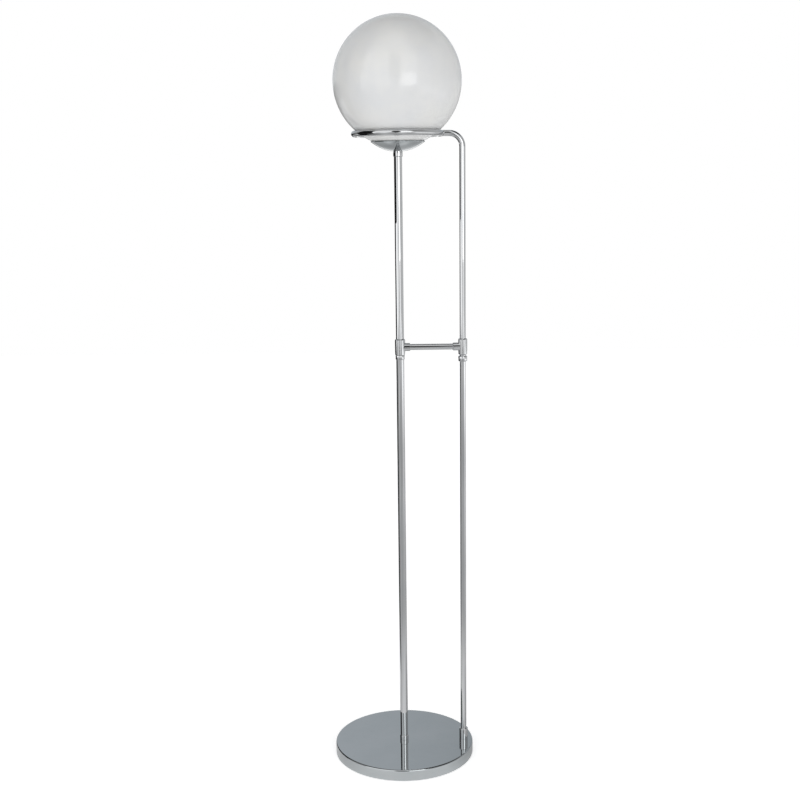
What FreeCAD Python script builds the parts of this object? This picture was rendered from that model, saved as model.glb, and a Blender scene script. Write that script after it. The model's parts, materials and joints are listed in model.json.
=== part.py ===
# Globe floor lamp. A round weighted foot carries two chromed uprights. The main post stands in
# the middle and ends under a shallow cup with the lampholder. The thinner side post stands near
# the foot's edge, bends over at the top and ends in a ring. An opal glass globe rests in that
# ring, its open mouth over the cup. A crossbar between two tee fittings ties the posts half-way.
# Frame: origin on the floor under the main post, +Z up, +X towards the side post. Millimetres.
import FreeCAD, Part

import math
import os

V = FreeCAD.Vector
UP = V(0, 0, 1)
ALONG = V(1, 0, 0)
REAR = V(0, 1, 0)

# ---------------------------------------------------------------- driving dimensions
OVERALL_HEIGHT = 1510.0

GLOBE_DIAMETER = 250.0
GLOBE_WALL = 3.5
GLOBE_MOUTH_DIAMETER = 90.0

FOOT_DIAMETER = 290.0
FOOT_HEIGHT = 24.0
FOOT_EDGE_RADIUS = 3.0
FOOT_SHEET = 1.5
SKIRT_LIFT = 1.5            # the skirt's lower edge above the floor

PAD_HEIGHT = 4.0
PAD_DIAMETER = 20.0
PAD_CHAMFER = 1.0
PAD_COUNT = 4
PLATE_THICKNESS = 1.5
WEIGHT_SKIRT_GAP = 2.5      # room between the weight and the skirt
WEIGHT_RIM_WIDTH = 29.0
WEIGHT_WEB = 10.0
WEIGHT_DRAFT = 1.5          # the slant of the casting's walls, and its edge bevel
WEIGHT_POCKET_DIAMETER = 90.0
WEIGHT_POCKET_WEB = 5.0
RIM_FIXING_INSET = 15.0     # the pads' and plate screws' centres, in from the weight's edge
PLATE_SCREW_COUNT = 3
PLATE_SCREW_DIAMETER = 4.0
PLATE_SCREW_DEPTH = 9.0
PLATE_SCREW_HEAD_RADIUS = 4.0
PLATE_SCREW_HEAD_HEIGHT = 2.0
SLOT_WIDTH = 1.0
CORD_HOLE_DIAMETER = 6.4    # for a round mains cord of about 6 mm
GROMMET_WALL = 1.3
GROMMET_FLANGE = 2.2        # how far each flange stands out past the grommet's neck
GROMMET_FLANGE_THICKNESS = 1.6
GROMMET_HEIGHT = 12.5       # its axis above the floor

POST_OD = 16.0
POST_WALL = 1.2
THIN_OD = 12.0              # side post, arm and crossbar
THIN_WALL = 1.0
SIDE_POST_INSET = 19.0      # the side post's axis, in from the foot's edge
BEND_RADIUS = 26.0
RING_ROD = 12.0
RING_RADIUS = 85.0          # to the rod's centre line

CROSSBAR_HEIGHT = 865.0
TEE_LENGTH = 33.0
TEE_END_CHAMFER = 1.6
MAIN_TEE_OD = 20.5
SIDE_TEE_OD = 18.0
STUB_OD = 16.0
STUB_REACH = 20.2           # from a post's axis to the stub's end face
STUB_CHAMFER = 0.8
STUB_SOCKET = 9.0           # how deep the crossbar sits in a stub
STUB_FILLET = 1.0
MAIN_FERRULE_OD = 18.6
MAIN_FERRULE_HEIGHT = 8.7
SIDE_FERRULE_OD = 18.0
SIDE_FERRULE_HEIGHT = 11.3
SIDE_FERRULE_GAP = 2.2      # bare tube between the side tee and its ferrule
FERRULE_CHAMFER = 0.7
COUPLER_LENGTH = 44.0
COUPLER_WALL = 1.6
SET_SCREW_DIAMETER = 4.0
SET_SCREW_SOCKET = 2.0      # across the flats of its hexagon socket

FOOT_COLLAR_OD = 18.0
FOOT_COLLAR_HEIGHT = 10.0
SIDE_SOCKET_OD = 18.0
SIDE_SOCKET_HEIGHT = 24.0
SIDE_SOCKET_FLOOR = 8.0
FOOT_BOLT_DIAMETER = 6.0
FOOT_BOLT_HEAD_DIAMETER = 11.0
FOOT_BOLT_HEAD_HEIGHT = 4.0
FOOT_BOLT_SOCKET = 4.0      # across the flats
FOOT_BOLT_HEAD_ROOM = 1.0   # around the head in its recess
FOOT_BOLT_RECESS = 7.0      # how deep the head's seat lies above the bottom plate

NIPPLE_OD = 10.0
NIPPLE_BORE = 7.0
BUSH_LENGTH = 12.0
NUT_ACROSS_FLATS = 17.0
FOOT_NUT_HEIGHT = 5.0
FOOT_WASHER_OD = 30.0
FOOT_WASHER_THICKNESS = 2.0
NIPPLE_TAIL = 1.0           # the foot nipple's end below its nut

CUP_RIM_RADIUS = 52.0
CUP_DEPTH = 18.2            # from the middle of the rolled rim to the underside
CUP_FLAT_RADIUS = 12.0
CUP_SHEET = 1.2
CUP_BEAD_RADIUS = 1.1
CUP_RIM_GAP = 0.6           # between the rolled rim and the glass
GASKET_SECTION = 2.0
TOP_COLLAR_OD = 18.5
TOP_COLLAR_HEIGHT = 11.0
TOP_COLLAR_SOCKET = 7.0
CUP_WASHER_OD = 22.0
CUP_WASHER_THICKNESS = 1.5
CUP_NUT_ACROSS_FLATS = 14.0
CUP_NUT_HEIGHT = 4.0

HOLDER_OD = 40.0
HOLDER_WALL = 2.0
HOLDER_CAP_HEIGHT = 20.0
HOLDER_CAP_FOOT_OD = 27.0
HOLDER_CAP_FLOOR = 5.0
HOLDER_CORE_THICKNESS = 8.0
HOLDER_LEDGE = 3.0          # the step inside the cap on which the core rests
HOLDER_SLEEVE_HEIGHT = 32.0
HOLDER_LIP = 1.0            # how far the sleeve's mouth turns in
SCREW_SHELL_WALL = 0.6
SCREW_SHELL_HEIGHT = 24.0
SCREW_SHELL_FLANGE = 2.5
CONTACT_STRIP_WIDTH = 5.0
CONTACT_STRIP_THICKNESS = 0.5
CONTACT_RISE = 3.5
TERMINAL_OFFSET = 8.5
TERMINAL_SIZE = 5.0
TERMINAL_SCREW_RADIUS = 1.7
TERMINAL_DROP = 5.5         # a terminal's height under the core
RIVET_DIAMETER = 2.4
RIVET_HEAD_DIAMETER = 3.8
RIVET_HEAD_HEIGHT = 0.5

BULB_DIAMETER = 60.0
BULB_LENGTH = 105.0
BULB_CAP_OD = 26.2
BULB_CAP_LENGTH = 21.0
BULB_INSULATOR_HEIGHT = 3.0
BULB_CONTACT_DIAMETER = 9.0
BULB_CONTACT_HEIGHT = 1.2
BULB_GLASS_WALL = 0.8
BULB_CAP_WALL = 0.5
BULB_CAP_CHAMFER = 1.0
BULB_CAP_GAP = 1.0          # between the cap's outside and the glass neck's, filled with cement
BULB_STEM_DIAMETER = 9.0
BULB_STEM_HEIGHT = 29.0     # above the widest part of its flared foot
STEM_LIFT = 0.8             # the stem's foot above the cap's floor
FILAMENT_COUNT = 4
FILAMENT_DIAMETER = 1.8
FILAMENT_LENGTH = 32.0
FILAMENT_CIRCLE = 14.0      # diameter of the circle that the filaments' upper ends stand on
FILAMENT_FOOT = 2.0         # how far the filaments reach down beside the stem's straight part

WIRE_DIAMETER = 2.2
WIRE_OFFSET = 1.4           # a core's distance from the post's axis
WIRE_BEND_RADIUS = 2.5
BLOCK_LENGTH = 28.0
BLOCK_WIDTH = 16.0
BLOCK_HEIGHT = 9.5
BLOCK_OFFSET = 32.0         # from the post's axis to the terminal block's centre

FIT = 0.05                  # radial room where one piece sits in another
SEAT_GAP = 0.3              # between the globe, or the bulb, and what it rests on
CAP_CLEARANCE = 0.35        # between the bulb's cap and the screw shell
DRILL_CLEARANCE = 0.2       # radial room of a screw in a drilled hole
SCREW_RECESS = 0.3          # a set screw's face below the surface around it

# ---------------------------------------------------------------- levels and places
globe_radius = GLOBE_DIAMETER / 2
globe_centre = OVERALL_HEIGHT - globe_radius
ring_seat = globe_radius + SEAT_GAP + RING_ROD / 2
ring_level = globe_centre - math.sqrt(ring_seat**2 - RING_RADIUS**2)

rim_distance = globe_radius + CUP_RIM_GAP + CUP_BEAD_RADIUS
cup_rim_level = globe_centre - math.sqrt(rim_distance**2 - CUP_RIM_RADIUS**2)
cup_floor = cup_rim_level - CUP_DEPTH
cup_inside = cup_floor + CUP_SHEET
top_collar_bottom = cup_floor - TOP_COLLAR_HEIGHT
post_top = top_collar_bottom + TOP_COLLAR_SOCKET
holder_bottom = cup_inside + CUP_WASHER_THICKNESS + CUP_NUT_HEIGHT
core_bottom = holder_bottom + HOLDER_CAP_HEIGHT - HOLDER_CORE_THICKNESS
core_top = holder_bottom + HOLDER_CAP_HEIGHT
bulb_bottom = core_top + CONTACT_RISE + SEAT_GAP
top_nipple_end = holder_bottom + HOLDER_CAP_FLOOR

insulator_bottom = bulb_bottom + BULB_CONTACT_HEIGHT
bulb_cap_bottom = insulator_bottom + BULB_INSULATOR_HEIGHT
bulb_cap_top = bulb_cap_bottom + BULB_CAP_LENGTH
stem_bottom = bulb_cap_bottom + BULB_CAP_WALL + STEM_LIFT
stem_flare = bulb_cap_bottom + BULB_CAP_LENGTH / 2
stem_top = stem_flare + BULB_STEM_HEIGHT

tee_top = CROSSBAR_HEIGHT + TEE_LENGTH / 2
tee_bottom = CROSSBAR_HEIGHT - TEE_LENGTH / 2
main_joint = tee_bottom - MAIN_FERRULE_HEIGHT / 2
side_ferrule_top = tee_bottom - SIDE_FERRULE_GAP
side_joint = side_ferrule_top - SIDE_FERRULE_HEIGHT / 2

plate_bottom = PAD_HEIGHT
plate_top = plate_bottom + PLATE_THICKNESS
weight_top = FOOT_HEIGHT - FOOT_SHEET
pocket_roof = weight_top - WEIGHT_POCKET_WEB
foot_washer_bottom = pocket_roof - FOOT_WASHER_THICKNESS
foot_nut_bottom = foot_washer_bottom - FOOT_NUT_HEIGHT
foot_nipple_bottom = foot_nut_bottom - NIPPLE_TAIL
foot_nipple_top = FOOT_HEIGHT + BUSH_LENGTH - 2 * SEAT_GAP

foot_radius = FOOT_DIAMETER / 2
post_spacing = foot_radius - SIDE_POST_INSET
skirt_inside = foot_radius - FOOT_SHEET
weight_radius = skirt_inside - WEIGHT_SKIRT_GAP
rim_fixing_radius = weight_radius - RIM_FIXING_INSET


# ---------------------------------------------------------------- shaping helpers
def outline(start, *steps):
    """A face in the XZ plane from (radius, height) points. A step that is a pair of points is an
    arc through the first to the second. The last point is joined to the first."""
    edges = []
    here = start
    for step in steps + (start,):
        if isinstance(step[0], tuple):
            through, there = step
            edges.append(Part.Arc(flat(here), flat(through), flat(there)).toShape())
        else:
            there = step
            if flat(here).isEqual(flat(there), 1e-7):
                continue
            edges.append(Part.makeLine(flat(here), flat(there)))
        here = there
    return Part.Face(Part.Wire(edges))


def flat(point):
    """A (radius, height) point in space."""
    return V(point[0], 0, point[1])


def turned(start, *steps, x=0.0):
    """A solid of revolution about the vertical axis at x."""
    solid = outline(start, *steps).revolve(V(0, 0, 0), UP, 360)
    solid.translate(V(x, 0, 0))
    return solid


def rod(diameter, bottom, top, x=0.0, y=0.0):
    """An upright solid cylinder."""
    return Part.makeCylinder(diameter / 2, top - bottom, V(x, y, bottom), UP)


def sleeve(outer, inner, bottom, top, x=0.0, y=0.0):
    """An upright tube between two heights."""
    return rod(outer, bottom, top, x, y).cut(rod(inner, bottom, top, x, y))


def chamfered_sleeve(outer, inner, bottom, top, chamfer, x=0.0):
    """A turned ring whose two outer edges are bevelled."""
    r, b, c = outer / 2, inner / 2, chamfer
    return turned((b, bottom), (r - c, bottom), (r, bottom + c), (r, top - c), (r - c, top), (b, top), x=x)


def hexagon(across_flats, bottom, height, x=0.0, y=0.0):
    """An upright hexagonal prism."""
    corner = across_flats / math.sqrt(3)
    points = [V(x + corner * math.cos(k * math.pi / 3), y + corner * math.sin(k * math.pi / 3), bottom)
              for k in range(7)]
    return Part.Face(Part.makePolygon(points)).extrude(V(0, 0, height))


def hex_nut(across_flats, hole, bottom, height):
    """A hexagon nut with its corners turned down on both faces."""
    nut = hexagon(across_flats, bottom, height)
    corner = across_flats / math.sqrt(3)
    bevel = (corner - across_flats / 2) / 2
    dome = chamfered_sleeve(2 * corner, hole, bottom, bottom + height, bevel)
    return nut.common(dome)


def on_round(centre, radius, angle):
    """The point of a circle about (0, centre) at an angle from straight down, in radians."""
    return (radius * math.sin(angle), centre - radius * math.cos(angle))


def around(count, radius, first_degrees=0.0):
    """Evenly spaced (x, y) places on a circle."""
    for k in range(count):
        angle = math.radians(first_degrees + 360.0 * k / count)
        yield radius * math.cos(angle), radius * math.sin(angle)


def swept(diameter, path_edges):
    """A round bar along straight runs and tangent arcs."""
    path = Part.Wire(path_edges)
    start = path_edges[0].Vertexes[0].Point
    towards = path_edges[0].tangentAt(path_edges[0].FirstParameter)
    circle = Part.Wire(Part.makeCircle(diameter / 2, start, towards))
    return path.makePipeShell([circle], True, False)


def group(solids):
    """Several separate solids in one node."""
    return Part.makeCompound(solids)


# ---------------------------------------------------------------- foot
def foot_cover():
    """The pressed and chromed steel dish that hides the weight."""
    r, e, s = foot_radius, FOOT_EDGE_RADIUS, FOOT_SHEET
    inner_e = max(e - s, 0.2)
    diagonal = math.sqrt(0.5)
    hole = NIPPLE_OD / 2 + DRILL_CLEARANCE
    outer_mid = (r - e + e * diagonal, FOOT_HEIGHT - e + e * diagonal)
    inner_mid = (r - s - inner_e + inner_e * diagonal, FOOT_HEIGHT - s - inner_e + inner_e * diagonal)
    cover = turned(
        (hole, FOOT_HEIGHT),
        (r - e, FOOT_HEIGHT),
        (outer_mid, (r, FOOT_HEIGHT - e)),
        (r, SKIRT_LIFT),
        (r - s, SKIRT_LIFT),
        (r - s, FOOT_HEIGHT - s - inner_e),
        (inner_mid, (r - s - inner_e, FOOT_HEIGHT - s)),
        (hole, FOOT_HEIGHT - s),
    )
    bolt_hole = rod(FOOT_BOLT_DIAMETER + 2 * DRILL_CLEARANCE, weight_top, FOOT_HEIGHT, x=post_spacing)
    return cover.cut([bolt_hole, grommet_hole()])


def grommet_neck_radius():
    return CORD_HOLE_DIAMETER / 2 + GROMMET_WALL


def grommet_hole():
    """The round hole through the skirt at the rear."""
    start = V(0, skirt_inside - 2 * FOOT_SHEET, GROMMET_HEIGHT)
    return Part.makeCylinder(grommet_neck_radius() + FIT, 4 * FOOT_SHEET, start, REAR)


def cord_grommet():
    """The rubber bush in the skirt that the mains cord comes through."""
    neck = grommet_neck_radius()
    flange = neck + GROMMET_FLANGE
    inner_face = math.sqrt(skirt_inside**2 - flange**2) - FIT
    inner_flange = Part.makeCylinder(
        flange, GROMMET_FLANGE_THICKNESS, V(0, inner_face - GROMMET_FLANGE_THICKNESS, GROMMET_HEIGHT), REAR)
    body = Part.makeCylinder(neck, foot_radius - inner_face, V(0, inner_face, GROMMET_HEIGHT), REAR)
    outer_flange = Part.makeCone(
        flange, flange - GROMMET_FLANGE_THICKNESS / 2, GROMMET_FLANGE_THICKNESS,
        V(0, foot_radius, GROMMET_HEIGHT), REAR)
    bore_start = V(0, inner_face - GROMMET_FLANGE_THICKNESS, GROMMET_HEIGHT)
    bore_length = foot_radius - inner_face + 2 * GROMMET_FLANGE_THICKNESS
    bore = Part.makeCylinder(CORD_HOLE_DIAMETER / 2, bore_length, bore_start, REAR)
    return inner_flange.fuse([body, outer_flange]).cut(bore).removeSplitter()


def foot_weight():
    """The cast iron disc: a thick rim, a thinner web and a pocket for the nut and the wiring."""
    r = weight_radius
    rim = r - WEIGHT_RIM_WIDTH
    web_bottom = weight_top - WEIGHT_WEB
    hole = NIPPLE_OD / 2 + DRILL_CLEARANCE
    draft = WEIGHT_DRAFT
    pocket = WEIGHT_POCKET_DIAMETER / 2
    disc = turned(
        (hole, weight_top),
        (r - draft, weight_top),
        (r, weight_top - draft),
        (r, plate_top),
        (rim, plate_top),
        (rim - draft, web_bottom),
        (pocket, web_bottom),
        (pocket - draft, pocket_roof),
        (hole, pocket_roof),
    )
    bolt_way = rod(FOOT_BOLT_DIAMETER + 2 * DRILL_CLEARANCE, plate_top, weight_top, x=post_spacing)
    recess_diameter = FOOT_BOLT_HEAD_DIAMETER + 2 * FOOT_BOLT_HEAD_ROOM
    bolt_recess = rod(recess_diameter, plate_top, plate_top + FOOT_BOLT_RECESS, x=post_spacing)
    gland = grommet_neck_radius() + GROMMET_FLANGE + FIT
    cord_way = Part.makeBox(
        2 * gland, WEIGHT_RIM_WIDTH + 4 * draft, GROMMET_HEIGHT + gland - plate_top,
        V(-gland, rim - 2 * draft, plate_top))
    tapped = [rod(PLATE_SCREW_DIAMETER, plate_top, plate_top + PLATE_SCREW_DEPTH, x, y)
              for x, y in plate_screw_places()]
    return disc.cut([bolt_way, bolt_recess, cord_way] + tapped)


def plate_screw_places():
    return around(PLATE_SCREW_COUNT, rim_fixing_radius, 90 / PLATE_SCREW_COUNT)


def bottom_plate():
    """The thin steel disc that closes the foot from below."""
    plate = rod(2 * weight_radius, plate_bottom, plate_top)
    holes = [rod(PLATE_SCREW_DIAMETER + 2 * DRILL_CLEARANCE, plate_bottom, plate_top, x, y)
             for x, y in plate_screw_places()]
    return plate.cut(holes)


def plate_screws():
    """Three pan-head screws that hold the bottom plate to the weight."""
    head, height = PLATE_SCREW_HEAD_RADIUS, PLATE_SCREW_HEAD_HEIGHT
    face = plate_bottom - height
    tip = plate_top + PLATE_SCREW_DEPTH - SLOT_WIDTH
    screws = []
    for x, y in plate_screw_places():
        shank = rod(PLATE_SCREW_DIAMETER - 2 * FIT, plate_bottom, tip, x, y)
        cap = Part.makeCone(head - height / 2, head, height, V(x, y, face), UP)
        slot = Part.makeBox(2 * head, SLOT_WIDTH, height / 2, V(x - head, y - SLOT_WIDTH / 2, face))
        screws.append(shank.fuse(cap).cut(slot).removeSplitter())
    return group(screws)


def rubber_pads():
    """The pads that the lamp stands on, glued under the bottom plate."""
    r, c = PAD_DIAMETER / 2, PAD_CHAMFER
    pads = []
    for x, y in around(PAD_COUNT, rim_fixing_radius, 180 / PAD_COUNT):
        pad = turned((0, 0), (r - c, 0), (r, c), (r, PAD_HEIGHT), (0, PAD_HEIGHT))
        pad.translate(V(x, y, 0))
        pads.append(pad)
    return group(pads)


def foot_nipple():
    """The hollow threaded rod that ties the post to the foot."""
    return sleeve(NIPPLE_OD, NIPPLE_BORE, foot_nipple_bottom, foot_nipple_top)


def foot_washer():
    return sleeve(FOOT_WASHER_OD, NIPPLE_OD + 2 * FIT, foot_washer_bottom, pocket_roof)


def foot_nut():
    return hex_nut(NUT_ACROSS_FLATS, NIPPLE_OD + 2 * FIT, foot_nut_bottom, FOOT_NUT_HEIGHT)


def foot_collar():
    """The ferrule over the main post where it meets the foot."""
    r, b, c = FOOT_COLLAR_OD / 2, POST_OD / 2 + FIT, FERRULE_CHAMFER
    top = FOOT_HEIGHT + FOOT_COLLAR_HEIGHT
    return turned((b, FOOT_HEIGHT), (r, FOOT_HEIGHT), (r, top - 2 * c), (r - c, top), (b, top))


def side_socket():
    """The blind socket that the side post stands in."""
    r, b, c = SIDE_SOCKET_OD / 2, THIN_OD / 2 + FIT, FERRULE_CHAMFER
    top = FOOT_HEIGHT + SIDE_SOCKET_HEIGHT
    floor = FOOT_HEIGHT + SIDE_SOCKET_FLOOR
    thread = FOOT_BOLT_DIAMETER / 2
    return turned(
        (thread, FOOT_HEIGHT), (r, FOOT_HEIGHT), (r, top - c), (r - c, top), (b, top), (b, floor),
        (thread, floor), x=post_spacing)


def foot_bolt():
    """The screw from below that holds the side socket down."""
    seat = plate_top + FOOT_BOLT_RECESS
    low = seat - FOOT_BOLT_HEAD_HEIGHT
    head = chamfered_sleeve(FOOT_BOLT_HEAD_DIAMETER, 0, low, seat, FERRULE_CHAMFER, x=post_spacing)
    socket = hexagon(FOOT_BOLT_SOCKET, low, FOOT_BOLT_HEAD_HEIGHT / 2, x=post_spacing)
    shank = rod(FOOT_BOLT_DIAMETER - 2 * FIT, seat, FOOT_HEIGHT + SIDE_SOCKET_FLOOR, x=post_spacing)
    return head.fuse(shank).cut(socket).removeSplitter()


# ---------------------------------------------------------------- posts
def post_bush(bottom):
    """A threaded bush brazed into the end of a main tube."""
    return sleeve(POST_OD - 2 * POST_WALL - 2 * FIT, NIPPLE_OD + 2 * FIT, bottom, bottom + BUSH_LENGTH)


def main_lower_tube():
    return sleeve(POST_OD, POST_OD - 2 * POST_WALL, FOOT_HEIGHT, main_joint)


def main_upper_tube():
    return sleeve(POST_OD, POST_OD - 2 * POST_WALL, main_joint, post_top)


def main_coupler():
    """The hollow stud inside the joint of the two main tubes."""
    od = POST_OD - 2 * POST_WALL - 2 * FIT
    half = COUPLER_LENGTH / 2
    return sleeve(od, od - 2 * COUPLER_WALL, main_joint - half, main_joint + half)


def main_ferrule():
    return chamfered_sleeve(
        MAIN_FERRULE_OD, POST_OD + 2 * FIT, tee_bottom - MAIN_FERRULE_HEIGHT, tee_bottom, FERRULE_CHAMFER)


def side_lower_tube():
    foot = FOOT_HEIGHT + SIDE_SOCKET_FLOOR
    return sleeve(THIN_OD, THIN_OD - 2 * THIN_WALL, foot, side_joint, x=post_spacing)


def side_coupler():
    """The solid stud inside the joint of the two side tubes."""
    half = COUPLER_LENGTH / 2
    return rod(THIN_OD - 2 * THIN_WALL - 2 * FIT, side_joint - half, side_joint + half, x=post_spacing)


def side_ferrule():
    return chamfered_sleeve(
        SIDE_FERRULE_OD, THIN_OD + 2 * FIT, side_ferrule_top - SIDE_FERRULE_HEIGHT, side_ferrule_top,
        FERRULE_CHAMFER, x=post_spacing)


def arm_path():
    """Up the side post, round the bend and in to the ring's centre line."""
    x, r = post_spacing, BEND_RADIUS
    bend_start = V(x, 0, ring_level - r)
    bend_middle = V(x - r + r * math.sqrt(0.5), 0, ring_level - r + r * math.sqrt(0.5))
    bend_end = V(x - r, 0, ring_level)
    return [
        Part.makeLine(V(x, 0, side_joint), bend_start),
        Part.Arc(bend_start, bend_middle, bend_end).toShape(),
        Part.makeLine(bend_end, V(RING_RADIUS, 0, ring_level)),
    ]


def side_upper_tube():
    """The bent tube. Its end is cut to the ring's round and brazed there."""
    outer = swept(THIN_OD, arm_path())
    bore = swept(THIN_OD - 2 * THIN_WALL, arm_path())
    return outer.cut([bore, support_ring()])


def support_ring():
    """The closed ring of round rod that the globe rests in."""
    return Part.makeTorus(RING_RADIUS, RING_ROD / 2, V(0, 0, ring_level), UP)


# ---------------------------------------------------------------- crossbar and tees
def tee(x, towards, body_od, tube_od):
    """A turned tee: an upright body with a stub for the crossbar. towards is +1 or -1 along X."""
    body = chamfered_sleeve(body_od, 0, tee_bottom, tee_top, TEE_END_CHAMFER, x=x)
    stub = Part.makeCylinder(STUB_OD / 2, STUB_REACH, V(x, 0, CROSSBAR_HEIGHT), ALONG * towards)
    stub = stub.makeChamfer(STUB_CHAMFER, [outer_rim(stub, x + towards * STUB_REACH)])
    whole = body.fuse(stub).removeSplitter()
    whole = whole.makeFillet(STUB_FILLET, saddle_edges(whole))
    socket_start = V(x + towards * (STUB_REACH - STUB_SOCKET), 0, CROSSBAR_HEIGHT)
    socket = Part.makeCylinder(THIN_OD / 2 + FIT, STUB_SOCKET, socket_start, ALONG * towards)
    bore = rod(tube_od + 2 * FIT, tee_bottom, tee_top, x=x)
    return whole.cut([socket, bore, set_screw_hole(x, CROSSBAR_HEIGHT, body_od)])


def outer_rim(shape, x):
    """The round edge of a shape that lies at x."""
    return [e for e in shape.Edges if abs(e.BoundBox.XMin - x) + abs(e.BoundBox.XMax - x) < 1e-4][0]


def saddle_edges(shape):
    """The edges where a stub runs into its body: neither straight nor a circle."""
    return [e for e in shape.Edges if e.Curve.TypeId not in ("Part::GeomLine", "Part::GeomCircle")]


def set_screw_hole(x, height, body_od):
    """The tapped hole at a fitting's rear, from the tube outwards."""
    return Part.makeCylinder(SET_SCREW_DIAMETER / 2, body_od / 2 + 1, V(x, 0, height), REAR)


def set_screw(x, height, body_od, tube_od):
    """A grub screw that bears on the tube."""
    start = tube_od / 2 + FIT
    end = body_od / 2 - SCREW_RECESS
    screw = Part.makeCylinder(SET_SCREW_DIAMETER / 2 - FIT, end - start, V(x, start, height), REAR)
    key = hexagon(SET_SCREW_SOCKET, 0, (end - start) / 2)
    key.rotate(V(0, 0, 0), ALONG, -90)
    key.translate(V(x, (start + end) / 2, height))
    return screw.cut(key)


def tee_set_screws():
    return group([
        set_screw(0, CROSSBAR_HEIGHT, MAIN_TEE_OD, POST_OD),
        set_screw(post_spacing, CROSSBAR_HEIGHT, SIDE_TEE_OD, THIN_OD),
    ])


def crossbar():
    """The level tube between the two tees' stubs."""
    start = STUB_REACH - STUB_SOCKET
    length = post_spacing - 2 * start
    place = V(start, 0, CROSSBAR_HEIGHT)
    outer = Part.makeCylinder(THIN_OD / 2, length, place, ALONG)
    return outer.cut(Part.makeCylinder(THIN_OD / 2 - THIN_WALL, length, place, ALONG))


# ---------------------------------------------------------------- cup under the globe
def cup_circle():
    """Height of the centre, and radius, of the round that the middle of the cup's sheet follows."""
    r, f, low = CUP_RIM_RADIUS, CUP_FLAT_RADIUS, cup_floor + CUP_SHEET / 2
    centre = (r**2 + cup_rim_level**2 - f**2 - low**2) / (2 * (cup_rim_level - low))
    return centre, math.hypot(r, centre - cup_rim_level)


def globe_cup():
    """The spun dish with a rolled rim. It hides the lampholder's fixing and the globe's mouth."""
    centre, middle = cup_circle()
    outer = middle + CUP_SHEET / 2
    inner = middle - CUP_SHEET / 2
    rim = math.asin(CUP_RIM_RADIUS / middle)
    outer_flat = math.acos((centre - cup_floor) / outer)
    inner_flat = math.acos((centre - cup_inside) / inner)
    hole = NIPPLE_OD / 2 + FIT
    dish = turned(
        (hole, cup_floor),
        on_round(centre, outer, outer_flat),
        (on_round(centre, outer, (outer_flat + rim) / 2), on_round(centre, outer, rim)),
        on_round(centre, inner, rim),
        (on_round(centre, inner, (inner_flat + rim) / 2), on_round(centre, inner, inner_flat)),
        (hole, cup_inside),
    )
    bead = Part.makeTorus(CUP_RIM_RADIUS, CUP_BEAD_RADIUS, V(0, 0, cup_rim_level), UP)
    return dish.fuse(bead).removeSplitter()


def cup_gasket():
    """The soft ring between the glass and the cup, held in the narrowing gap between the two."""
    centre, middle = cup_circle()
    half = GASKET_SECTION / 2
    from_globe = globe_radius + SEAT_GAP + half
    from_cup = middle - CUP_SHEET / 2 - half
    level = (from_globe**2 - from_cup**2 - globe_centre**2 + centre**2) / (2 * (centre - globe_centre))
    radius = math.sqrt(from_globe**2 - (level - globe_centre) ** 2)
    return Part.makeTorus(radius, half, V(0, 0, level), UP)


def top_collar():
    """The turned collar between the main post and the cup."""
    r, c = TOP_COLLAR_OD / 2, FERRULE_CHAMFER
    tube = POST_OD / 2 + FIT
    hole = NIPPLE_OD / 2 + FIT
    return turned(
        (tube, top_collar_bottom), (r - c, top_collar_bottom), (r, top_collar_bottom + 2 * c),
        (r, cup_floor), (hole, cup_floor), (hole, post_top), (tube, post_top))


def top_nipple():
    return sleeve(NIPPLE_OD, NIPPLE_BORE, post_top - BUSH_LENGTH + 2 * SEAT_GAP, top_nipple_end)


def cup_washer():
    return sleeve(CUP_WASHER_OD, NIPPLE_OD + 2 * FIT, cup_inside, cup_inside + CUP_WASHER_THICKNESS)


def cup_nut():
    return hex_nut(
        CUP_NUT_ACROSS_FLATS, NIPPLE_OD + 2 * FIT, cup_inside + CUP_WASHER_THICKNESS, CUP_NUT_HEIGHT)


# ---------------------------------------------------------------- lampholder
def holder_cap():
    """The lower half of the lampholder, screwed on the nipple."""
    foot, r = HOLDER_CAP_FOOT_OD / 2, HOLDER_OD / 2
    room = r - HOLDER_WALL + FIT
    ledge = room - HOLDER_LEDGE
    hole = NIPPLE_OD / 2 + FIT
    floor = holder_bottom + HOLDER_CAP_FLOOR
    shoulder = (core_bottom + floor) / 2
    inner_shoulder = shoulder + HOLDER_WALL / 2
    return turned(
        (hole, holder_bottom), (foot, holder_bottom), (r, shoulder), (r, core_top), (room, core_top),
        (room, core_bottom), (ledge, core_bottom), (ledge, inner_shoulder), (foot - HOLDER_WALL, floor),
        (hole, floor))


def holder_core():
    """The ceramic disc that carries the contacts."""
    disc = rod(HOLDER_OD - 2 * HOLDER_WALL, core_bottom, core_top)
    return disc.cut([rod(RIVET_DIAMETER + 2 * FIT, core_bottom, core_top, x=side * TERMINAL_OFFSET)
                     for side in (-1, 1)])


def holder_sleeve():
    """The upper half of the lampholder, open at the top."""
    r, lip = HOLDER_OD / 2, HOLDER_LIP
    b = r - HOLDER_WALL
    low, high = core_top, core_top + HOLDER_SLEEVE_HEIGHT
    return turned(
        (b, low), (r, low), (r, high - lip), (r - lip, high), (b - lip, high), (b - lip, high - 2 * lip),
        (b, high - 3 * lip))


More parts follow.
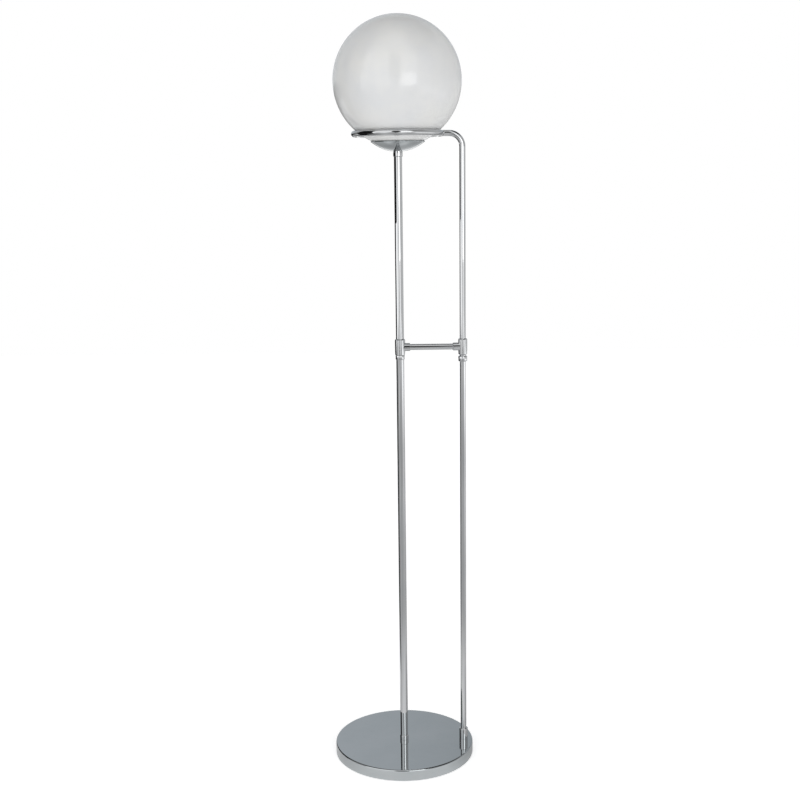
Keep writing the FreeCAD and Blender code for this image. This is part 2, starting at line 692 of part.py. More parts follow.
def screw_shell():
    """The brass shell that the bulb's cap screws into."""
    b = BULB_CAP_OD / 2 + CAP_CLEARANCE
    r = b + SCREW_SHELL_WALL
    flange = r + SCREW_SHELL_FLANGE
    floor = core_top + SCREW_SHELL_WALL
    top = core_top + SCREW_SHELL_HEIGHT
    shell = turned((b, core_top), (flange, core_top), (flange, floor), (r, floor), (r, top), (b, top))
    half = CONTACT_STRIP_WIDTH / 2
    tab_end = TERMINAL_OFFSET - half
    tab = Part.makeBox(r - tab_end, 2 * half, SCREW_SHELL_WALL, V(tab_end, -half, core_top))
    return shell.fuse(tab).removeSplitter().cut(rivet_hole(TERMINAL_OFFSET))


def rivet_hole(x):
    """The hole for a rivet in what lies on the core."""
    return rod(RIVET_DIAMETER + 2 * FIT, core_top, core_top + CONTACT_RISE / 2, x=x)


def centre_contact():
    """The springy strip under the bulb: flat on the core at one end, arched up to the bulb."""
    t = CONTACT_STRIP_THICKNESS
    reach = BULB_CONTACT_DIAMETER / 2
    low, high = core_top, core_top + CONTACT_RISE
    foot = -TERMINAL_OFFSET + CONTACT_STRIP_WIDTH / 2
    tail = -TERMINAL_OFFSET - CONTACT_STRIP_WIDTH / 2
    bend = foot + CONTACT_RISE
    points = [
        (tail, low), (foot, low), (bend, high - t), (reach, high - t), (reach, high),
        (bend - t / 2, high), (foot - t / 2, low + t), (tail, low + t), (tail, low),
    ]
    side = Part.Face(Part.makePolygon([V(x, -CONTACT_STRIP_WIDTH / 2, z) for x, z in points]))
    return side.extrude(V(0, CONTACT_STRIP_WIDTH, 0)).cut(rivet_hole(-TERMINAL_OFFSET))


def holder_terminals():
    """Two brass clamps under the core, each with its screw and the rivet up through the core."""
    half = TERMINAL_SIZE / 2
    clamps = []
    for side, seat in ((-1, CONTACT_STRIP_THICKNESS), (1, SCREW_SHELL_WALL)):
        centre = side * TERMINAL_OFFSET
        block = Part.makeBox(
            TERMINAL_SIZE, TERMINAL_SIZE, TERMINAL_DROP,
            V(centre - half, -half, core_bottom - TERMINAL_DROP))
        middle = core_bottom - TERMINAL_DROP / 2
        screw = Part.makeCylinder(TERMINAL_SCREW_RADIUS, half, V(centre, -half, middle), REAR * -1)
        rivet = rod(RIVET_DIAMETER, core_bottom, core_top + seat, x=centre)
        head = rod(RIVET_HEAD_DIAMETER, core_top + seat, core_top + seat + RIVET_HEAD_HEIGHT, x=centre)
        clamps.append(block.fuse([screw, rivet, head]).removeSplitter())
    return group(clamps)


# ---------------------------------------------------------------- wiring inside the lamp
def terminal_block():
    """The connector in the foot's pocket: a moulded bar with three screw wells."""
    bar = Part.makeBox(
        BLOCK_WIDTH, BLOCK_LENGTH, BLOCK_HEIGHT,
        V(-BLOCK_OFFSET - BLOCK_WIDTH / 2, -BLOCK_LENGTH / 2, plate_top))
    wells = []
    pitch = BLOCK_LENGTH / 3
    for k in (-1, 0, 1):
        for step in (-BLOCK_WIDTH / 4, BLOCK_WIDTH / 4):
            wells.append(rod(pitch / 2, plate_top + BLOCK_HEIGHT / 2, plate_top + BLOCK_HEIGHT,
                             x=-BLOCK_OFFSET + step, y=k * pitch))
    return bar.cut(wells)


def core_wire(side):
    """One insulated core: from the terminal block, up through the post, to the holder's clamp."""
    y = side * WIRE_OFFSET
    r = WIRE_BEND_RADIUS
    short = r - r * math.sqrt(0.5)
    low = foot_nipple_bottom - r
    high = core_bottom - TERMINAL_DROP / 2
    block_face = -BLOCK_OFFSET + BLOCK_WIDTH / 2
    clamp_face = side * (TERMINAL_OFFSET - TERMINAL_SIZE / 2)
    return swept(WIRE_DIAMETER, [
        Part.makeLine(V(block_face, y, low), V(-r, y, low)),
        Part.Arc(V(-r, y, low), V(-short, y, low + short), V(0, y, low + r)).toShape(),
        Part.makeLine(V(0, y, low + r), V(0, y, high - r)),
        Part.Arc(V(0, y, high - r), V(side * short, y, high - short), V(side * r, y, high)).toShape(),
        Part.makeLine(V(side * r, y, high), V(clamp_face, y, high)),
    ])


# ---------------------------------------------------------------- bulb and globe
def bulb_contact():
    """The solder pip at the bottom of the bulb."""
    r, h = BULB_CONTACT_DIAMETER / 2, BULB_CONTACT_HEIGHT
    return turned((0, bulb_bottom), (r - h / 2, bulb_bottom), (r, bulb_bottom + h), (0, bulb_bottom + h))


def bulb_insulator():
    """The dark glass cone between the solder pip and the cap."""
    r = BULB_CAP_OD / 2 - BULB_CAP_CHAMFER
    return turned(
        (0, insulator_bottom), (BULB_CONTACT_DIAMETER / 2, insulator_bottom), (r, bulb_cap_bottom),
        (0, bulb_cap_bottom))


def bulb_cap():
    """The thin metal shell of the bulb's cap."""
    r, w, c = BULB_CAP_OD / 2, BULB_CAP_WALL, BULB_CAP_CHAMFER
    low, high = bulb_cap_bottom, bulb_cap_top
    return turned(
        (0, low), (r - c, low), (r, low + c), (r, high), (r - w, high), (r - w, low + w + c),
        (r - w - c, low + w), (0, low + w))


def bulb_glass():
    """The clear envelope: a neck that sits in the cap and runs in one hollow sweep into a ball."""
    ball_centre = bulb_bottom + BULB_LENGTH - BULB_DIAMETER / 2
    rise = ball_centre - bulb_cap_top

    def skin(inset):
        neck = BULB_CAP_OD / 2 - BULB_CAP_GAP - inset
        ball = BULB_DIAMETER / 2 - inset
        sweep = (rise**2 + neck**2 - ball**2) / (2 * (ball - neck))
        turn = math.atan2(rise, neck + sweep)
        half_sweep = (neck + sweep - sweep * math.cos(turn / 2), bulb_cap_top + sweep * math.sin(turn / 2))
        waist = (ball * math.cos(turn), ball_centre - ball * math.sin(turn))
        crown = (math.pi / 2 - turn) / 2
        half_ball = (ball * math.cos(crown), ball_centre + ball * math.sin(crown))
        return neck, half_sweep, waist, half_ball, (0, ball_centre + ball)

    seat, end = stem_flare, bulb_cap_top
    neck, half_sweep, waist, half_ball, top = skin(0)
    inner_neck, inner_half_sweep, inner_waist, inner_half_ball, inner_top = skin(BULB_GLASS_WALL)
    return turned(
        (neck, seat), (neck, end), (half_sweep, waist), (half_ball, top), inner_top,
        (inner_half_ball, inner_waist), (inner_half_sweep, (inner_neck, end)), (inner_neck, seat))


def bulb_stem():
    """The glass stem that holds the filaments. Its flared foot closes the neck."""
    r = BULB_STEM_DIAMETER / 2
    neck = BULB_CAP_OD / 2 - BULB_CAP_GAP - BULB_GLASS_WALL - FIT
    return turned(
        (0, stem_bottom), (neck, stem_bottom), (neck, stem_flare), (r, stem_flare + r), (r, stem_top - r),
        (r / 2, stem_top), (0, stem_top))


def bulb_filaments():
    """Straight filament rods that stand round the stem's top, leaning a little outwards."""
    foot_level = stem_top - BULB_STEM_DIAMETER / 2 - FILAMENT_FOOT
    foot_radius = (BULB_STEM_DIAMETER + FILAMENT_DIAMETER) / 2 + FIT
    lean = math.asin((FILAMENT_CIRCLE / 2 - foot_radius) / FILAMENT_LENGTH)
    rods = []
    for k in range(FILAMENT_COUNT):
        filament = rod(FILAMENT_DIAMETER, 0, FILAMENT_LENGTH)
        filament.rotate(V(0, 0, 0), REAR, math.degrees(lean))
        filament.translate(V(foot_radius, 0, foot_level))
        filament.rotate(V(0, 0, 0), UP, 360 / FILAMENT_COUNT * (k + 0.5))
        rods.append(filament)
    return group(rods)


def globe():
    """The blown opal glass ball with a cut and fire-polished mouth at the bottom."""
    r, w, m = globe_radius, GLOBE_WALL, GLOBE_MOUTH_DIAMETER / 2
    inner = r - w
    lip = math.asin(m / r)
    lip_mid_radius = r - w / 2

    half_way = (math.pi + lip) / 2
    lip_mid = on_round(globe_centre, lip_mid_radius, lip - w / 2 / lip_mid_radius)
    return turned(
        (0, globe_centre + r),
        (on_round(globe_centre, r, half_way), on_round(globe_centre, r, lip)),
        (lip_mid, on_round(globe_centre, inner, lip)),
        (on_round(globe_centre, inner, half_way), (0, globe_centre + inner)),
    )


# ---------------------------------------------------------------- nodes
NODES = {
    "foot_cover": foot_cover,
    "foot_weight": foot_weight,
    "bottom_plate": bottom_plate,
    "plate_screws": plate_screws,
    "rubber_pads": rubber_pads,
    "cord_grommet": cord_grommet,
    "foot_nipple": foot_nipple,
    "foot_washer": foot_washer,
    "foot_nut": foot_nut,
    "foot_collar": foot_collar,
    "foot_bush": lambda: post_bush(FOOT_HEIGHT),
    "side_socket": side_socket,
    "foot_bolt": foot_bolt,
    "main_lower_tube": main_lower_tube,
    "main_coupler": main_coupler,
    "main_ferrule": main_ferrule,
    "main_upper_tube": main_upper_tube,
    "side_lower_tube": side_lower_tube,
    "side_coupler": side_coupler,
    "side_ferrule": side_ferrule,
    "side_upper_tube": side_upper_tube,
    "support_ring": support_ring,
    "main_tee": lambda: tee(0, 1, MAIN_TEE_OD, POST_OD),
    "side_tee": lambda: tee(post_spacing, -1, SIDE_TEE_OD, THIN_OD),
    "tee_set_screws": tee_set_screws,
    "crossbar": crossbar,
    "top_bush": lambda: post_bush(post_top - BUSH_LENGTH),
    "top_collar": top_collar,
    "top_nipple": top_nipple,
    "globe_cup": globe_cup,
    "cup_gasket": cup_gasket,
    "cup_washer": cup_washer,
    "cup_nut": cup_nut,
    "holder_cap": holder_cap,
    "holder_core": holder_core,
    "holder_terminals": holder_terminals,
    "holder_sleeve": holder_sleeve,
    "screw_shell": screw_shell,
    "centre_contact": centre_contact,
    "terminal_block": terminal_block,
    "live_wire": lambda: core_wire(1),
    "neutral_wire": lambda: core_wire(-1),
    "bulb_contact": bulb_contact,
    "bulb_insulator": bulb_insulator,
    "bulb_cap": bulb_cap,
    "bulb_glass": bulb_glass,
    "bulb_stem": bulb_stem,
    "bulb_filaments": bulb_filaments,
    "globe": globe,
}


def main():
    os.makedirs("parts", exist_ok=True)
    for name, make in NODES.items():
        shape = make()
        shape.exportStep(f"parts/{name}.step")
        verdict = "sound" if shape.isValid() and shape.Volume > 0 else "UNSOUND"
        print(f"{name}: {len(shape.Solids)} solids, {shape.Volume / 1000:.2f} cm3, {verdict}")


main()
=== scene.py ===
# %% [markdown]
# # A chromed floor lamp with an opal glass globe
# Two slim chromed posts stand on a round weighted foot and hold a white glass ball in a ring.
# Almost everything that the eye gets from this lamp is reflection: bright and dark bands on
# polished tubes. So the lesson spends its care on three things: true round shapes, a studio that
# gives the chrome something plain to reflect, and finishes with the small faults of real ones.
#
# The solids come ready made. They are loaded as a fixed frame, and nothing here moves them.

# %% Load the frame
import json
import math

import bmesh
import bpy
from mathutils import Matrix, Vector


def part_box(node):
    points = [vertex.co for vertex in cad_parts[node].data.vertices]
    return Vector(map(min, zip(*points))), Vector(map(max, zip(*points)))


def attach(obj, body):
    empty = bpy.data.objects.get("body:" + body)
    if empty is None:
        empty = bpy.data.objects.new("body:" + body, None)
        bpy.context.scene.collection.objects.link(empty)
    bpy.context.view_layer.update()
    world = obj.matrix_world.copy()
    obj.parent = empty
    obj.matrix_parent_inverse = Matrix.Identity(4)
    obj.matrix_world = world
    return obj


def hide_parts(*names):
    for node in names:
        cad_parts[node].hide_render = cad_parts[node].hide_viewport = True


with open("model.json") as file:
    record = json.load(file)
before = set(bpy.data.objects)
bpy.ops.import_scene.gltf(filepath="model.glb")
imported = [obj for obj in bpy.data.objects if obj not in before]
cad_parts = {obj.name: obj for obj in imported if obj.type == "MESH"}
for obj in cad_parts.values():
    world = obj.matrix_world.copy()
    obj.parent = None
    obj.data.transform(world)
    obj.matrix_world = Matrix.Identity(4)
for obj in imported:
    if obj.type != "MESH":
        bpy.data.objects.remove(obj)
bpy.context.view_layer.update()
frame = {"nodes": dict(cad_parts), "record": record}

scene = bpy.context.scene

# %% [markdown]
# ## Measures
# Every measure that a later piece needs is read off the solids, so that a new piece can't drift
# away from the one it stands for. A box gives the lowest and the highest corner of a piece, and
# for something turned on a lathe that is all it takes: its radius and its two heights.
# The few real sizes that no box shows, such as a thread's pitch, are written in millimetres.

# %% Measures from the solids
MM = 0.001


def turned_size(piece):
    """The radius, foot and top of a piece that is round about an upright axis, and that axis's x."""
    low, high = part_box(piece)
    return (high.x - low.x) / 2, low.z, high.z, (high.x + low.x) / 2


globe_radius, _, globe_top, _ = turned_size("globe")
globe_centre = globe_top - globe_radius
print("globe radius", round(globe_radius, 4), "m, its centre", round(globe_centre, 4), "m up")

# %% [markdown]
# ## Camera
# The lamp is seen from two and a half metres away and a little under globe height, looking down
# by ten degrees, with the camera tipped sideways by less than one. A plain lens of 56 mm gives the
# same taper from the foot to the globe. The tilt stays, because it is part of the view.

# %% Camera
CAMERA_PLACE = Vector((-0.0013, -2.4793, 1.2089))
LOOKS_DOWN = 0.1803          # radians
ROLL = 0.0112                # radians
LENS_MM = 56.0
SENSOR_MM = 36.0

camera_data = bpy.data.cameras.new("camera")
camera_data.lens = LENS_MM
camera_data.sensor_width = SENSOR_MM
camera = bpy.data.objects.new("camera", camera_data)
scene.collection.objects.link(camera)
camera.matrix_world = (
    Matrix.Translation(CAMERA_PLACE)
    @ Matrix.Rotation(math.pi / 2 - LOOKS_DOWN, 4, "X")
    @ Matrix.Rotation(-ROLL, 4, "Z")
)
scene.camera = camera
scene.view_settings.view_transform = "Standard"
print("camera at", [round(v, 3) for v in CAMERA_PLACE])

# %% [markdown]
# ## Colour and nodes
# Colours are written as the hex values that a colour picker shows. A screen value isn't an amount
# of light, so one function turns it into one. A second small function adds a shader node: its
# settings, its inputs and its links in one call. That keeps each material readable from the top
# down, as a list of what the surface is made of.

# %% Colour and node helpers


def linear(hex_colour):
    """A screen colour such as "C8CACC" as amounts of red, green and blue light, and full alpha."""
    parts = [int(hex_colour[i:i + 2], 16) / 255 for i in (0, 2, 4)]
    light = [p / 12.92 if p <= 0.04045 else ((p + 0.055) / 1.055) ** 2.4 for p in parts]
    return (*light, 1.0)


def add(tree, kind, inputs=None, stops=None, **settings):
    """Adds one node. An input that is another node's output is linked, any other is set."""
    made = tree.nodes.new(kind)
    for name, value in settings.items():
        setattr(made, name, value)
    for socket, value in (inputs or {}).items():
        if isinstance(value, bpy.types.NodeSocket):
            tree.links.new(value, made.inputs[socket])
        else:
            made.inputs[socket].default_value = value
    if stops:
        ramp = made.color_ramp.elements
        while len(ramp) < len(stops):
            ramp.new(1.0)
        for element, (place, colour) in zip(ramp, stops):
            element.position = place
            element.color = colour
    return made


def finish_named(name):
    """An empty material, its node tree and its surface shader."""
    material = bpy.data.materials.new(name)
    material.use_nodes = True
    tree = material.node_tree
    return material, tree, tree.nodes["Principled BSDF"]


print("a mid grey screen value gives", round(linear("808080")[0], 3), "of full light")

# %% [markdown]
# ## Studio
# Chrome has no colour of its own to speak of, so the studio is half of the picture. It is painted
# by direction on the world, as a panorama of a photographer's room: two big soft panels in front
# with a dark gap between them, black cloth low down behind on the left, pale walls, and a ceiling
# lit over the camera. The panels make the white bands on the tubes, and the gap and the cloth make
# the dark lines that say metal. Painting by direction is quicker than building the room, and it
# needs only two angles: which way one faces, and how far up.

# %% Which way one faces, and how far up
world = bpy.data.worlds.new("studio")
scene.world = world
world.use_nodes = True
room = world.node_tree
room.nodes.clear()

direction = add(room, "ShaderNodeTexCoord").outputs["Generated"]
parts = add(room, "ShaderNodeSeparateXYZ", {"Vector": direction}).outputs
to_camera = add(room, "ShaderNodeMath", {0: parts["Y"], 1: -1.0}, operation="MULTIPLY").outputs[0]
turn = add(room, "ShaderNodeMath", {0: parts["X"], 1: to_camera}, operation="ARCTAN2").outputs[0]
turned_by = add(room, "ShaderNodeMapRange", {
    "Value": turn, "From Min": -math.pi, "From Max": math.pi}).outputs[0]
rise = add(room, "ShaderNodeMath", {0: parts["Z"]}, operation="ARCSINE").outputs[0]


def grey(level, cool=0.0):
    """A grey of that brightness, where 1 is white, and a little bluer where cool is above 0."""
    return (level * (1 - cool), level, level * (1 + cool), 1.0)


def panorama(stops):
    """The room's greys by the way one faces, in degrees from the camera's side, left below 0."""
    colours = [((degrees + 180) / 360, grey(*level)) for degrees, *level in stops]
    return add(room, "ShaderNodeValToRGB", {"Fac": turned_by}, colours).outputs["Color"]


def above(low, high):
    """0 below the first height and 1 above the second, in degrees up, blended softly between."""
    return add(room, "ShaderNodeMapRange", {
        "Value": rise, "From Min": math.radians(low), "From Max": math.radians(high)},
        interpolation_type="SMOOTHSTEP").outputs[0]


print("a cool mid grey is", [round(value, 3) for value in grey(0.5, cool=0.05)])

# %% [markdown]
# The room has three bands, one above the other, and each is a ramp that runs all the way round.
# A stop is an angle, a brightness and, where it is cool, how cool. The upper parts of the posts
# mirror the lowest band. The foot's top mirrors the back of the middle one, which is why that is
# cool. The upper fronts of the ring and of the level tubes mirror the highest.

# %% The room's three bands
EYE_LEVEL = (1, 3)           # degrees up, where the lowest band gives way to the middle one
PANEL_TOPS = (36, 50)        # degrees up, where the middle band gives way to the ceiling

low_down = panorama([
    (-180, 0.04), (-92, 0.04),                                   # black cloth behind on the left
    (-86, 1.80), (-62, 1.80), (-52, 1.35), (-10, 1.35),          # the left panel's foot
    (-8, 0.15), (1, 0.15),                                       # the camera's dark stand
    (3, 1.45), (34, 1.50),                                       # the right panel's foot
    (42, 0.80), (60, 0.75), (100, 0.85), (125, 0.80),            # pale wall on the right
    (150, 0.65), (170, 0.30), (180, 0.04)])                      # and darker, back to the cloth
higher_up = panorama([
    (-180, 0.61, 0.05), (-176, 0.64, 0.05), (-150, 0.62, 0.05),  # cool wall behind
    (-120, 0.45), (-92, 0.32), (-68, 0.32),                      # dim wall on the left
    (-64, 1.32), (-17, 1.32),                                    # the left panel
    (-13, 0.03), (5, 0.03),                                      # the dark gap over the camera
    (9, 1.32), (36, 1.32),                                       # the right panel
    (42, 0.62), (120, 0.62),                                     # wall on the right
    (150, 0.54, 0.05), (176, 0.54, 0.05), (180, 0.61, 0.05)])    # cool wall behind
overhead = panorama([
    (-180, 0.25), (-75, 0.25),                                   # dim ceiling
    (-45, 0.95), (28, 0.95),                                     # lit over the camera
    (48, 0.02), (135, 0.02),                                     # dark on the right
    (150, 0.25), (180, 0.25)])                                   # dim ceiling
# A mix node keeps separate sockets for numbers and colours. 6, 7 and output 2 are the colours'.
walls = add(room, "ShaderNodeMix", {
    0: above(*EYE_LEVEL), 6: low_down, 7: higher_up}, data_type="RGBA").outputs[2]
painted = add(room, "ShaderNodeMix", {
    0: above(*PANEL_TOPS), 6: walls, 7: overhead}, data_type="RGBA").outputs[2]
print("stops in the three bands:", [
    len(node.color_ramp.elements) for node in room.nodes if node.bl_idname == "ShaderNodeValToRGB"])

# %% [markdown]
# The painted room is for mirrors and for light. The camera itself, and clear glass, look at a
# plain white background instead. The kind of ray that asks tells the two apart.

# %% What the camera sees behind the lamp


def seen_straight(tree, rays):
    """1 for what the camera sees straight on or through clear glass, and 0 for all else."""
    return add(tree, "ShaderNodeMath", {
        0: rays["Is Camera Ray"], 1: rays["Is Transmission Ray"]}, operation="MAXIMUM").outputs[0]


rays = add(room, "ShaderNodeLightPath").outputs
shown = add(room, "ShaderNodeMix", {
    0: seen_straight(room, rays), 6: painted, 7: grey(1.0)}, data_type="RGBA").outputs[2]
light_of_room = add(room, "ShaderNodeBackground", {"Color": shown, "Strength": 1.0})
add(room, "ShaderNodeOutputWorld", {"Surface": light_of_room.outputs[0]})
print("nodes in the room:", len(room.nodes))

# %% [markdown]
# ## Floor
# The floor is a plain pale paper sweep. It takes the studio's light, so the lamp's shadow stays on
# it, and it glows a little on its own. Seen straight on, or through clear glass, the glow lifts
# it to white. In the chrome it shows painted pools of light: its glow in mirrors is painted by the
# distance from the lamp, a mid grey round the foot, darker a metre out, and brightest at the far
# edges. The lower parts of the posts are mirrors of that painted light, and their soft greys come
# from it.

# %% Floor sheet
FLOOR_REACH = 6.0            # metres from the lamp to each edge


def sheet(name, corners):
    """A flat sheet of the studio between four corners."""
    data = bpy.data.meshes.new(name)
    data.from_pydata(corners, [], [(0, 1, 2, 3)])
    made = bpy.data.objects.new(name, data)
    scene.collection.objects.link(made)
    return made


floor = sheet("floor", [
    (x * FLOOR_REACH, y * FLOOR_REACH, 0) for x, y in ((-1, -1), (1, -1), (1, 1), (-1, 1))])
print("floor sheet", 2 * FLOOR_REACH, "m wide")

# %% Painted pools of light, which only a mirror shows on the paper
POOL_SCALE = 1.8             # patches across a metre, at POOL_START from the lamp
POOL_START = 0.5             # metres. Far beyond it, a patch is about half as wide as it is far off

paper, tree, surface = finish_named("matt_white_paper_sweep")
place = add(tree, "ShaderNodeTexCoord").outputs["Object"]
distance = add(tree, "ShaderNodeVectorMath", {0: place}, operation="LENGTH").outputs["Value"]
way_out = add(tree, "ShaderNodeMapRange", {"Value": distance, "From Max": FLOOR_REACH}).outputs[0]
# Each stop is a distance from the lamp in metres, and how brightly the paper's painted glow shows in a
# mirror.
painted_light_pools = add(tree, "ShaderNodeValToRGB", {"Fac": way_out}, [
    (metres / FLOOR_REACH, grey(level)) for metres, level in (
        (0.0, 0.26), (0.6, 0.26), (0.9, 0.12), (1.5, 0.14), (2.1, 0.24), (3.0, 0.24), (3.9, 0.50),
        (5.1, 0.70), (6.0, 0.70))]).outputs["Color"]
# Dividing the place by the distance makes the painted patches of light grow with it, as real pools of
# light do.
reach = add(tree, "ShaderNodeMath", {0: distance, 1: POOL_START}, operation="ADD").outputs[0]
shrink = add(tree, "ShaderNodeMath", {0: 1.0, 1: reach}, operation="DIVIDE").outputs[0]
spread = add(tree, "ShaderNodeVectorMath", {0: place, "Scale": shrink}, operation="SCALE").outputs[0]
patches = add(tree, "ShaderNodeTexNoise", {
    "Vector": spread, "Scale": POOL_SCALE, "Detail": 0.0}).outputs["Fac"]
# The noise lies about 0.5. Its middle is stretched to 0 to 2, so the ramp's level is the average.
uneven = add(tree, "ShaderNodeMapRange", {
    "Value": patches, "From Min": 0.35, "From Max": 0.65, "To Min": 0.0, "To Max": 2.0}).outputs[0]
# The paper's painted glow in mirrors: the painted pools of light, broken into patches.
painted_glow_in_mirror = add(tree, "ShaderNodeMath", {0: painted_light_pools, 1: uneven}, operation="MULTIPLY").outputs[0]
print("the pools take", len(tree.nodes), "nodes, with the two that a material starts with")

# %% The paper's glow
GLOW_SEEN = 0.63             # straight on, where it makes white together with the light on it
GLOW_GIVEN = 0.45            # as light on matt things round it, such as the globe

# A mix node's sockets for numbers are 2, 3 and output 0.
rays = add(tree, "ShaderNodeLightPath").outputs
# For light on matt things the paper glows evenly. In mirrors it shows the painted pools of light.
bounce = add(tree, "ShaderNodeMix", {
    0: rays["Is Diffuse Ray"], 2: painted_glow_in_mirror, 3: GLOW_GIVEN}, data_type="FLOAT").outputs[0]
glow = add(tree, "ShaderNodeMix", {
    0: seen_straight(tree, rays), 2: bounce, 3: GLOW_SEEN}, data_type="FLOAT").outputs[0]
surface.inputs["Base Color"].default_value = linear("E6E6E6")
surface.inputs["Roughness"].default_value = 0.9
surface.inputs["Specular IOR Level"].default_value = 0.1
surface.inputs["Emission Color"].default_value = (1, 1, 1, 1)
tree.links.new(glow, surface.inputs["Emission Strength"])
floor.data.materials.append(paper)
print("the paper glows by", GLOW_SEEN, "seen straight on, and gives", GLOW_GIVEN, "to matt things")

# %% [markdown]
# ## Soft panel
# One soft panel stands just to the right of the camera, and it is the panel whose small soft
# window shows on the globe. It is given by the brightness of its face, because that is what a
# mirror shows, and its power follows from its area.

# %% Soft panel


def soft_panel(name, centre, aim, width, height, brightness):
    """A rectangular soft light whose face has that brightness in a mirror, where 1 is white."""
    data = bpy.data.lights.new(name, "AREA")
    data.shape = "RECTANGLE"
    data.size = width
    data.size_y = height
    data.energy = brightness * width * height * math.pi
    panel = bpy.data.objects.new(name, data)
    scene.collection.objects.link(panel)
    facing = (Vector(aim) - Vector(centre)).to_track_quat("-Z", "Y")
    panel.matrix_world = Matrix.Translation(centre) @ facing.to_matrix().to_4x4()
    panel.visible_camera = False


soft_panel(
    "window_panel", centre=(0.90, -2.44, 1.36), aim=(0, 0, globe_centre),
    width=1.20, height=1.00, brightness=1.9)

# %% [markdown]
# ## Black cloths
# Three black cloths hang on the left. They show only in mirrors and through clear glass, and
# neither shade the lamp nor stand in the picture. The low one draws the dark line down the left
# edges of the lower posts. The high one and the small near one blacken the ring's left side, and
# hang where the foot's top doesn't mirror them from the front.

# %% Black cloths
wool, _, surface = finish_named("black_wool_cloth")
surface.inputs["Base Color"].default_value = linear("101010")
surface.inputs["Roughness"].default_value = 1.0


def black_cloth(start, end, bottom, top):
    """A black cloth hung upright between two places on the floor, from one height to another."""
    cloth = sheet("black_cloth", [(*start, bottom), (*end, bottom), (*end, top), (*start, top)])
    cloth.data.materials.append(wool)
    cloth.visible_camera = False
    cloth.visible_diffuse = False
    cloth.visible_shadow = False


black_cloth((-0.42, -0.02), (-0.80, 1.10), bottom=0.0, top=1.0)
black_cloth((-1.00, -0.48), (-1.00, 0.36), bottom=1.25, top=3.0)
black_cloth((-0.30, -0.20), (-0.30, 0.08), bottom=1.10, top=1.34)

# %% [markdown]
# ## How a finish is built
# Every surface here has the same three layers, whatever it is made of. Its tone wanders a little
# over patches, such as smears on plate or clouds in glass. Its gloss wanders with the tone,
# because what darkens a surface usually dulls it too. And a fine relief stands in it: sand grains,
# orange peel, tool marks or the waves that buffing leaves. So one function lays down the three,
# from real sizes in millimetres, and each finish adds what only it has, by the names of the
# shader's sockets.

# %% Tone, gloss and relief
PATCH_SPAN = (0.35, 0.70)    # the stretch of the noise over which tone and gloss change
METAL = {"Metallic": 1.0}


def cloudy(share, depth_mm):
    """What a body has that lets light in: the share of light that enters, and about how deep."""
    return {"Subsurface Weight": share, "Subsurface Scale": depth_mm * MM}


def surfaced(name, tones, patch_mm, roughness, relief_mm, depth_mm, own=None):
    """A finish: two tones and two roughnesses that wander over patches, and a fine relief."""
    material, tree, surface = finish_named(name)
    place = add(tree, "ShaderNodeTexCoord").outputs["Object"]
    patch = add(tree, "ShaderNodeTexNoise", {
        "Vector": place, "Scale": 1 / (patch_mm * MM), "Detail": 4.0, "Roughness": 0.6}).outputs["Fac"]
    stops = [(level, linear(tone)) for level, tone in zip(PATCH_SPAN, tones)]
    colour = add(tree, "ShaderNodeValToRGB", {"Fac": patch}, stops).outputs["Color"]
    tree.links.new(colour, surface.inputs["Base Color"])
    dulled = add(tree, "ShaderNodeMapRange", {
        "Value": patch, "From Min": PATCH_SPAN[0], "From Max": PATCH_SPAN[1],
        "To Min": roughness[0], "To Max": roughness[1]}).outputs[0]
    tree.links.new(dulled, surface.inputs["Roughness"])
    grain = add(tree, "ShaderNodeTexNoise", {
        "Vector": place, "Scale": 1 / (relief_mm * MM), "Detail": 2.0}).outputs["Fac"]
    relief = add(tree, "ShaderNodeBump", {
        "Height": grain, "Distance": depth_mm * MM, "Strength": 1.0}).outputs["Normal"]
    tree.links.new(relief, surface.inputs["Normal"])
    for socket, value in (own or {}).items():
        surface.inputs[socket].default_value = value
    return material


print("a body that light enters 4 mm deep:", cloudy(0.35, 4))

# %% [markdown]
# ## Bright chrome plate
# The posts, the fittings, the ring, the cup and the foot are steel or brass, ground, buffed and
# plated with nickel and a breath of chrome, which reflects a little over half of the light.
# What tells plate from a mathematical mirror is small: buffing leaves a very slight waviness, and
# handling leaves smears that are a touch less sharp. The waves are a few thousandths of a
# millimetre deep. They are short on a turned fitting and long on the pressed sheet of the foot.
# The foot and the cup take a darker, bluer copy of the chrome: painted shade, which stands in for
# the darker, cooler reflections on them. A metal keeps the shader's default IOR.

# %% Chrome finishes
chrome_on_tube = surfaced(
    "chrome_plate_on_ground_tube", tones=("C4C5C6", "BEC0C2"), patch_mm=60,
    roughness=(0.03, 0.08), relief_mm=9, depth_mm=0.003, own=METAL)
chrome_on_turned = surfaced(
    "chrome_plate_on_turned_brass", tones=("C4C5C6", "BCBEC0"), patch_mm=30,
    roughness=(0.04, 0.09), relief_mm=5, depth_mm=0.002, own=METAL)
# The pressed sheet's tones are darker and bluer than the tube's: painted shade for its darker, cooler
# reflections.
chrome_on_sheet_painted_darker = surfaced(
    "chrome_plate_on_pressed_steel_painted_darker", tones=("B5B9BB", "AFB4B6"), patch_mm=90,
    roughness=(0.03, 0.07), relief_mm=45, depth_mm=0.004, own=METAL)
print("chrome finishes:", [m.name for m in bpy.data.materials if m.name.startswith("chrome_plate")])

# %% [markdown]
# ## Opal glass
# The globe is blown opal glass: glass clouded white all through by fine crystals, with a smooth
# fire-bright skin. Light goes a few millimetres in and comes back out, which softens its shading,
# while the skin still mirrors a window, softly. It is never one flat white. The cloudiness is a
# little uneven, and blowing leaves slow, shallow waves about as long as a thumb.

